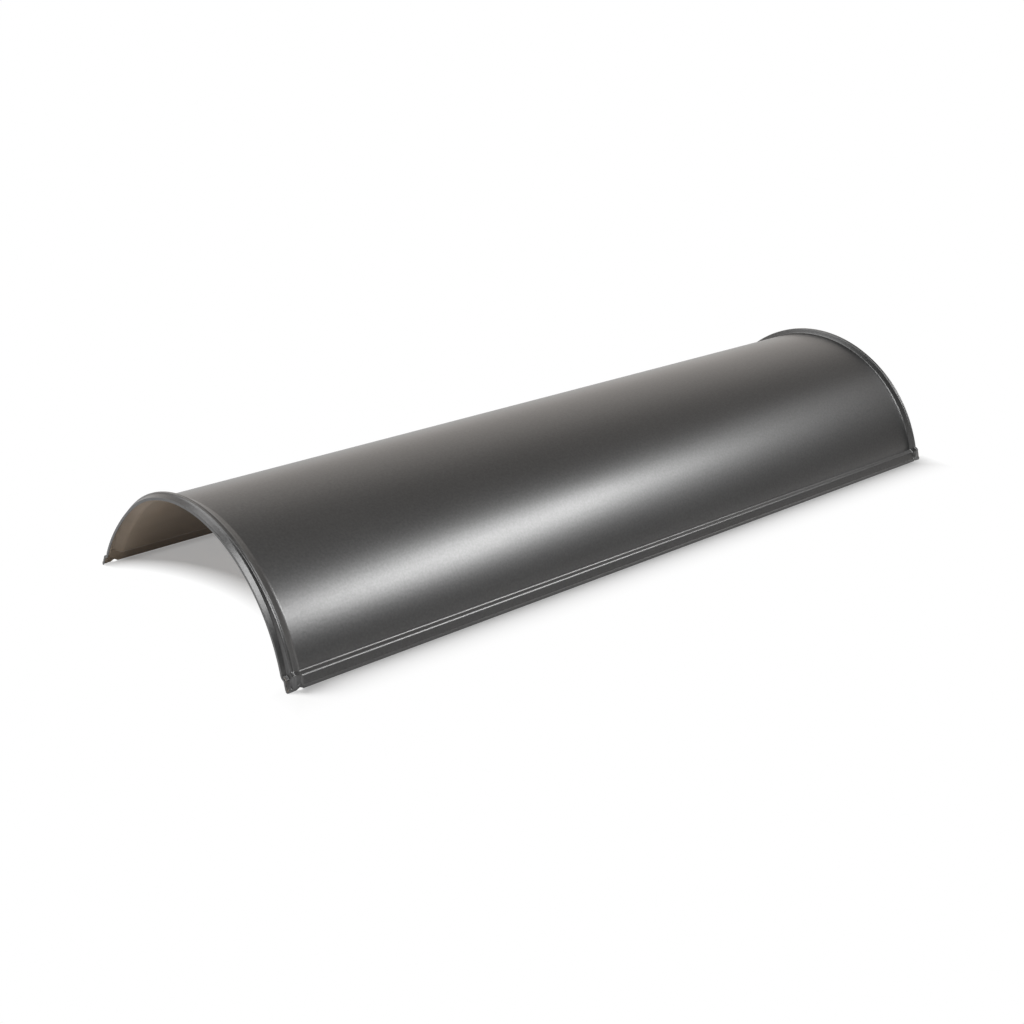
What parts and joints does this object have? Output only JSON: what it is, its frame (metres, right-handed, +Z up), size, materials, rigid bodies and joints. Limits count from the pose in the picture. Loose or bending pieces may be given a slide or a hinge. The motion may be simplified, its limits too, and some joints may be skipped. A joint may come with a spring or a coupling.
{
  "type": "roof ridge cap",
  "caption": "Half-round pressed sheet cap for a roof ridge, with a stepped ledge and apron along both sides and a raised collar round each end.",
  "frame": {"origin": "under the middle of the cap, level with the lower edges of the aprons", "axes": "+X along the ridge, +Y across it, +Z up"},
  "size_m": [1, 0.3256, 0.1276],
  "materials": {
    "painted_sheet": "semi-gloss dark grey metallic paint outside, brownish grey backing coat inside"
  },
  "bodies": {
    "root": {"ridge_cap": "painted_sheet"}
  },
  "joints": []
}
